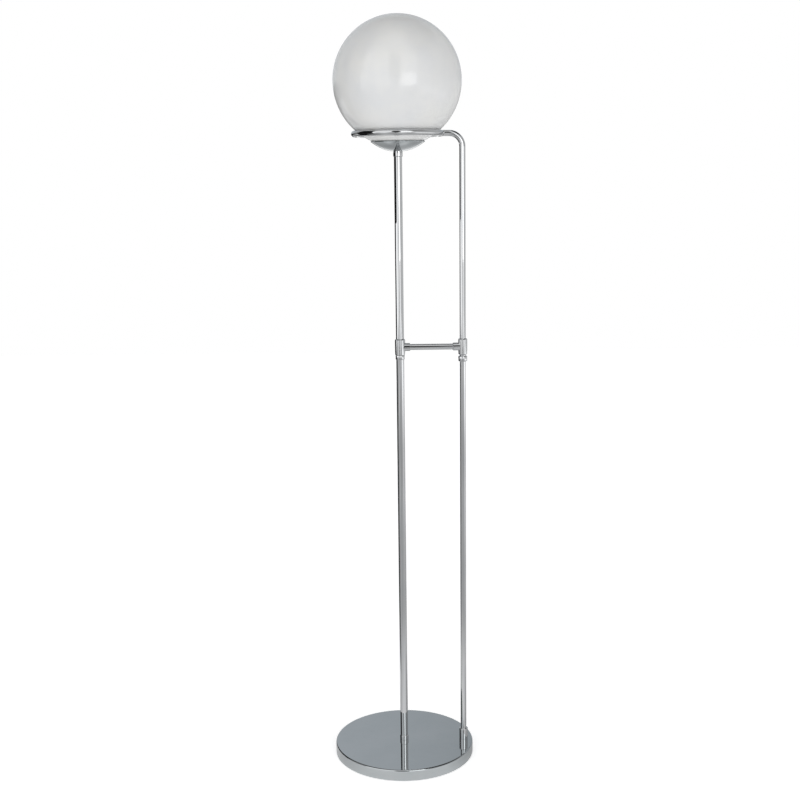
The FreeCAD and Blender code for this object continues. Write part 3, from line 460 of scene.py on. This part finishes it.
# %% Opal glass
opal = surfaced(
    "blown_opal_glass", tones=("E1E2E3", "E7E7E5"), patch_mm=80, roughness=(0.12, 0.16),
    relief_mm=55, depth_mm=0.12,
    own={**cloudy(0.35, 4), "Subsurface Radius": (1.0, 1.0, 1.0), "IOR": 1.52})
print("opal glass:", opal.name)

# %% [markdown]
# ## Clear glass
# The bulb is blown from clear soda glass. Nearly all light passes, so the eye reads it from
# its reflections and from the way its edges darken, and from faint waves in its wall.

# %% Clear glass
clear_glass = surfaced(
    "blown_clear_soda_glass", tones=("F6FAF9", "FBFDFC"), patch_mm=40, roughness=(0.0, 0.015),
    relief_mm=14, depth_mm=0.02, own={"IOR": 1.52, "Transmission Weight": 1.0})
print("clear glass:", clear_glass.name)

# %% [markdown]
# ## Metals that aren't meant to be looked at
# Inside the foot, the posts and the lampholder are plainer metals. Zinc plate on the nuts,
# washers, bushes and screws is a satin grey that turns straw and blue where its last bath ran off.
# The weight is sand cast iron under black primer, so its skin has the grain of the mould. The
# lampholder's contacts are stamped brass, tarnished in blotches. The bulb's cap is rolled from
# nickel plated sheet, and a pip of tin solder closes it.

# %% Plain metals
zinc = surfaced(
    "passivated_zinc_plate_on_steel", tones=("B4BABF", "B3AE9E"), patch_mm=7,
    roughness=(0.26, 0.42), relief_mm=0.8, depth_mm=0.006, own=METAL)
cast_iron = surfaced(
    "black_primer_on_sand_cast_iron", tones=("1D1D1F", "2B2A2A"), patch_mm=14,
    roughness=(0.50, 0.75), relief_mm=1.4, depth_mm=0.16)
brass = surfaced(
    "stamped_brass_sheet", tones=("DDBB72", "B98F4C"), patch_mm=6,
    roughness=(0.18, 0.38), relief_mm=0.9, depth_mm=0.006, own=METAL)
nickel = surfaced(
    "nickel_plate_on_rolled_sheet", tones=("D0CCC5", "B9B4AB"), patch_mm=9,
    roughness=(0.12, 0.28), relief_mm=1.6, depth_mm=0.006, own=METAL)
solder = surfaced(
    "tin_solder_pip", tones=("C2C2BE", "9FA09D"), patch_mm=1.5,
    roughness=(0.25, 0.50), relief_mm=1.1, depth_mm=0.06, own=METAL)
print("plainer metals:", [m.name for m in (zinc, cast_iron, brass, nickel, solder)])

# %% [markdown]
# ## Paint, rubber and plastics
# The bottom plate wears black stove enamel, whose orange peel is about two millimetres across.
# The pads and the cord's bush are matt moulded rubber with a grey bloom. The soft ring under the
# glass is cloudy silicone, which lets light in. The terminal block is milky nylon. The wires have
# smooth PVC, brown and blue as the wiring rules ask, drawn out of a die and a little uneven along
# the run. The lampholder's shell is black phenolic resin, hard and glossy with darker flow patches.

# %% Paint, rubber and plastics
enamel = surfaced(
    "black_stove_enamel_on_sheet_steel", tones=("131315", "1C1C1E"), patch_mm=45,
    roughness=(0.26, 0.38), relief_mm=2.0, depth_mm=0.015, own={"Coat Weight": 0.25})
rubber = surfaced(
    "moulded_black_rubber", tones=("161616", "262625"), patch_mm=5,
    roughness=(0.66, 0.85), relief_mm=0.5, depth_mm=0.03)
silicone = surfaced(
    "moulded_cloudy_silicone", tones=("D3D4D0", "DEDEDA"), patch_mm=6,
    roughness=(0.30, 0.42), relief_mm=0.7, depth_mm=0.01, own=cloudy(0.5, 1.5))
nylon = surfaced(
    "moulded_white_nylon", tones=("E9E7E1", "DFDDD5"), patch_mm=6,
    roughness=(0.36, 0.50), relief_mm=0.5, depth_mm=0.012, own=cloudy(0.2, 1.0))
brown_pvc, blue_pvc = [
    surfaced(
        name, tones=tones, patch_mm=9, roughness=(0.32, 0.46), relief_mm=1.0, depth_mm=0.02)
    for name, tones in (
        ("extruded_brown_pvc", ("4B2B1D", "5C3824")), ("extruded_blue_pvc", ("1F4C9E", "2C5DB2")))]
phenolic = surfaced(
    "moulded_black_phenolic", tones=("1B1917", "262220"), patch_mm=10,
    roughness=(0.14, 0.30), relief_mm=1.5, depth_mm=0.006, own={"IOR": 1.6})
print("paint, rubber and plastics:", [
    m.name for m in (enamel, rubber, silicone, nylon, brown_pvc, blue_pvc, phenolic)])

# %% [markdown]
# ## Glaze, fused glass and phosphor
# The lampholder's core is glazed steatite, whose glaze pools over a chalky body. In the bulb's
# cap, a bead of fused black glass keeps the contact off the shell, and it is glossy as ink. The
# filaments are thin rods under a matt, slightly lumpy coat of yellow phosphor.

# %% Glaze, fused glass and phosphor
steatite = surfaced(
    "glazed_steatite", tones=("E9E5DB", "D9D3C5"), patch_mm=4,
    roughness=(0.06, 0.20), relief_mm=2.2, depth_mm=0.02, own={"Coat Weight": 0.5})
black_glass = surfaced(
    "fused_black_glass", tones=("0B0B0E", "17171C"), patch_mm=3,
    roughness=(0.04, 0.14), relief_mm=1.6, depth_mm=0.03, own={"IOR": 1.55})
phosphor = surfaced(
    "yellow_phosphor_on_filament", tones=("E3AE33", "CB921F"), patch_mm=1.2,
    roughness=(0.45, 0.65), relief_mm=0.5, depth_mm=0.03, own=cloudy(0.3, 0.5))
print("glaze, glass and phosphor:", [m.name for m in (steatite, black_glass, phosphor)])

# %% [markdown]
# ## Finishes on the solids
# Most solids already have the true shape, so they only take a finish. The record says which slot
# each one belongs to, and one table turns a slot into a finish. Chrome is the exception: it has
# three finishes. Tube and turned brass come out of the buffing differently, and the pressed sheet
# of the foot and the cup takes a darker, bluer copy as painted shade.

# %% Finishes on the solids
finish_of_slot = {
    "chrome": chrome_on_tube, "zinc_steel": zinc, "cast_iron": cast_iron, "painted_steel": enamel,
    "black_rubber": rubber, "clear_silicone": silicone, "white_nylon": nylon,
    "brown_insulation": brown_pvc, "blue_insulation": blue_pvc, "black_phenolic": phenolic,
    "glazed_ceramic": steatite, "brass": brass, "solder": solder, "black_glass": black_glass,
    "nickel_plate": nickel, "clear_glass": clear_glass, "phosphor_coating": phosphor,
    "opal_glass": opal,
}
finish_of_node = {
    "main_tee": chrome_on_turned, "side_tee": chrome_on_turned,
    # The foot and the cup take the darker, bluer copy of chrome, as painted shade.
    "foot_cover": chrome_on_sheet_painted_darker, "globe_cup": chrome_on_sheet_painted_darker,
}
for subpart in frame["record"]["subparts"]:
    solid = frame["nodes"][subpart["node"]]
    finish = finish_of_node.get(subpart["node"], finish_of_slot[subpart["material_slot"]])
    solid.data.materials.clear()
    solid.data.materials.append(finish)

# %% [markdown]
# ## Turned fittings
# The collars, ferrules and sockets come off a lathe and are then buffed, and buffing rounds every
# edge. A rounded edge catches a line of light that a sharp one doesn't, so these pieces are made
# again here. A turning is one outline, spun about its axis. The outline is a closed loop of
# corners, and each corner says how far it is rounded. The outer size and the place come from the
# solid that the piece stands for.

# %% A turning with rounded corners
TURNS_AROUND = 96
ARC_STEPS = 6
SHARP_EDGE = math.radians(40)   # an edge that turns by more than this stays sharp


def rounded(corners):
    """Outline points from corners of (radius, height, rounding). A rounding becomes a short arc."""
    points = []
    for i, (radius, level, rounding) in enumerate(corners):
        corner = Vector((radius, level))
        if not rounding:
            points.append(corner)
            continue
        back = (Vector(corners[i - 1][:2]) - corner).normalized()
        on = (Vector(corners[(i + 1) % len(corners)][:2]) - corner).normalized()
        half = back.angle(on) / 2
        centre = corner + (back + on).normalized() * rounding / math.sin(half)
        first = corner + back * rounding / math.tan(half) - centre
        last = corner + on * rounding / math.tan(half) - centre
        sweep = first.angle(last)
        for k in range(ARC_STEPS + 1):
            t = k / ARC_STEPS
            ray = (first * math.sin((1 - t) * sweep) + last * math.sin(t * sweep)) / math.sin(sweep)
            points.append(centre + ray)
    return points


def spun(name, points, axis_x, swing=None):
    """A closed outline spun about an upright axis. swing(point, angle) may move a point outwards."""
    verts = []
    for k in range(TURNS_AROUND):
        angle = 2 * math.pi * k / TURNS_AROUND
        for point in points:
            reach = point.x + (swing(point, angle) if swing else 0.0)
            verts.append((axis_x + reach * math.cos(angle), reach * math.sin(angle), point.y))
    count = len(points)
    faces = []
    for k in range(TURNS_AROUND):
        here, beyond = k * count, (k + 1) % TURNS_AROUND * count
        for i in range(count):
            j = (i + 1) % count
            faces.append((here + i, beyond + i, beyond + j, here + j))
    data = bpy.data.meshes.new(name)
    data.from_pydata(verts, [], faces)
    shell = bmesh.new()
    shell.from_mesh(data)
    bmesh.ops.recalc_face_normals(shell, faces=shell.faces)
    shell.to_mesh(data)
    shell.free()
    data.shade_smooth()
    data.set_sharp_from_angle(angle=SHARP_EDGE)
    piece = bpy.data.objects.new(name, data)
    scene.collection.objects.link(piece)
    return piece


print("a turning has", TURNS_AROUND, "steps round it and", ARC_STEPS, "in each rounded corner")

# %% Collar, socket and ferrules
FIT = 0.05 * MM              # between a tube and the bore that it stands in
SOCKET_FLOOR = 8.0 * MM      # how much of the side socket is left under the tube
SOCKET_THREAD = 3.0 * MM     # the radius of the thread under it
COLLAR_SOCKET = 7.0 * MM     # how deep the post stands in the top collar
NIPPLE_RADIUS = 5.0 * MM     # the threaded tube that runs on through the collar

post_bore = turned_size("main_lower_tube")[0] + FIT
side_bore = turned_size("side_lower_tube")[0] + FIT


def through(radius):
    """A plain bore from the top to the foot."""
    return [(radius, None), (radius, 0)]


def fitting(node, round_foot_mm, round_top_mm, bore):
    """A chromed turning in a solid's place. The bore's corners are given from the top down."""
    radius, foot, top, axis_x = turned_size(node)
    corners = [(radius, foot, round_foot_mm * MM), (radius, top, round_top_mm * MM)]
    corners += [(inner, (top if level is None else foot + level), 0.0) for inner, level in bore]
    piece = spun(node + "_turned", rounded(corners), axis_x)
    piece.data.materials.append(chrome_on_turned)
    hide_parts(node)
    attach(piece, "lamp")


# A bore's level counts up from the foot of the piece, and None is its top.
fitting("foot_collar", round_foot_mm=0.2, round_top_mm=1.1, bore=through(post_bore))
fitting("main_ferrule", round_foot_mm=1.4, round_top_mm=0.3, bore=through(post_bore))
fitting("side_ferrule", round_foot_mm=2.0, round_top_mm=2.0, bore=through(side_bore))
fitting("side_socket", round_foot_mm=0.2, round_top_mm=1.2, bore=[
    (side_bore, None), (side_bore, SOCKET_FLOOR), (SOCKET_THREAD, SOCKET_FLOOR), (SOCKET_THREAD, 0)])
fitting("top_collar", round_foot_mm=1.6, round_top_mm=0.2, bore=[
    (NIPPLE_RADIUS + FIT, None), (NIPPLE_RADIUS + FIT, COLLAR_SOCKET), (post_bore, COLLAR_SOCKET),
    (post_bore, 0)])

# %% [markdown]
# ## The bulb's screw cap
# The cap is a strip of thin nickel plated sheet, rolled between two shaped dies, so its thread is
# a soft wave and shows inside as well as outside. The wave climbs one pitch in each turn. It is
# the same turning as before, but every point is also pulled inwards by where it lies on the wave.
# The wave fades out above the tapered end and below the plain skirt.

# %% Screw cap
THREAD_PITCH = 3.629 * MM
THREAD_DEPTH = 0.70 * MM
CAP_WALL = 0.25 * MM
CAP_TAPER = 1.0 * MM
WIRE_HOLE = 0.6 * MM
THREAD_START = 1.5 * MM      # above the cap's foot
PLAIN_SKIRT = 3.0 * MM       # below the cap's top
FADE = 1.5 * MM              # the climb over which the wave grows at one end and fades at the other
ROWS_PER_PITCH = 12

cap_radius, cap_foot, cap_top, _ = turned_size("bulb_cap")
thread_from, thread_to = cap_foot + THREAD_START, cap_top - PLAIN_SKIRT


def rolled_thread(point, angle):
    """How far the thread's wave pulls a point inwards."""
    strength = min(point.y - thread_from, thread_to - point.y) / FADE
    wave = 0.5 - 0.5 * math.cos(2 * math.pi * point.y / THREAD_PITCH - angle)
    return -THREAD_DEPTH * wave * min(max(strength, 0.0), 1.0)


rows = round((cap_top - cap_foot) / THREAD_PITCH * ROWS_PER_PITCH)
taper_top = cap_foot + CAP_TAPER
climb = [taper_top + (cap_top - taper_top) * i / rows for i in range(rows + 1)]
cap_outline = [Vector((cap_radius - CAP_TAPER, cap_foot))]
cap_outline += [Vector((cap_radius, level)) for level in climb]
cap_outline += [Vector((cap_radius - CAP_WALL, level)) for level in reversed(climb)]
cap_outline += [
    Vector((cap_radius - CAP_TAPER - CAP_WALL, cap_foot + CAP_WALL)),
    Vector((WIRE_HOLE, cap_foot + CAP_WALL)), Vector((WIRE_HOLE, cap_foot))]
cap = spun("bulb_cap_rolled", cap_outline, 0.0, rolled_thread)
cap.data.materials.append(nickel)
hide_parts("bulb_cap")
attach(cap, "bulb")
print("cap thread:", round((thread_to - thread_from) / THREAD_PITCH, 1), "turns")

# %% [markdown]
# ## The filaments' wires
# The filament rods are welded at their upper ends to thin nickel wires, which spring from the top
# of the glass stem and bend over like the ribs of an umbrella. A curve with a round section is
# just that: a bent wire. Its points are few, so the bends stay soft.

# %% Filament wires
WIRE_COUNT = 4
WIRE_RADIUS = 0.25 * MM
BUNDLE = 1.6 * WIRE_RADIUS   # how far each wire stands from the middle where they run together
ROOT = 2.0 * MM              # how deep the wires are fused into the stem
STRAIGHT_END = 6.0 * MM      # where they stop running straight, below the filaments' upper ends
CROWN_INNER = 3.5 * MM       # how far the bend reaches over those ends, near the middle
CROWN_OUTER = 4.0 * MM       # and out over the filaments
OVERHANG = 0.5 * MM          # how far a wire reaches past its filament before it turns down
FILAMENT_RING = 7.0 * MM     # how far the filaments' upper ends stand from the middle
ROD_RADIUS = 0.9 * MM

stem_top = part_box("bulb_stem")[1].z
rods_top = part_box("bulb_filaments")[1].z
wires = bpy.data.curves.new("filament_wires", "CURVE")
wires.dimensions = "3D"
wires.bevel_depth = WIRE_RADIUS
wires.bevel_resolution = 3
# One wire's points, each as how far out and how high.
run = [
    (BUNDLE, stem_top - ROOT), (BUNDLE, rods_top - STRAIGHT_END), (BUNDLE, rods_top + CROWN_INNER),
    (FILAMENT_RING + OVERHANG, rods_top + CROWN_OUTER), (FILAMENT_RING, rods_top - ROD_RADIUS)]
for k in range(WIRE_COUNT):
    angle = 2 * math.pi * (k + 0.5) / WIRE_COUNT
    wire = wires.splines.new("NURBS")
    wire.points.add(len(run) - 1)
    for point, (out, level) in zip(wire.points, run):
        point.co = (out * math.cos(angle), out * math.sin(angle), level, 1.0)
    wire.order_u = 3
    wire.use_endpoint_u = True
crown = bpy.data.objects.new("filament_wires", wires)
scene.collection.objects.link(crown)
wires.materials.append(nickel)
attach(crown, "bulb")
print("filament wires:", len(wires.splines), "of", round(2 * WIRE_RADIUS / MM, 1), "mm")
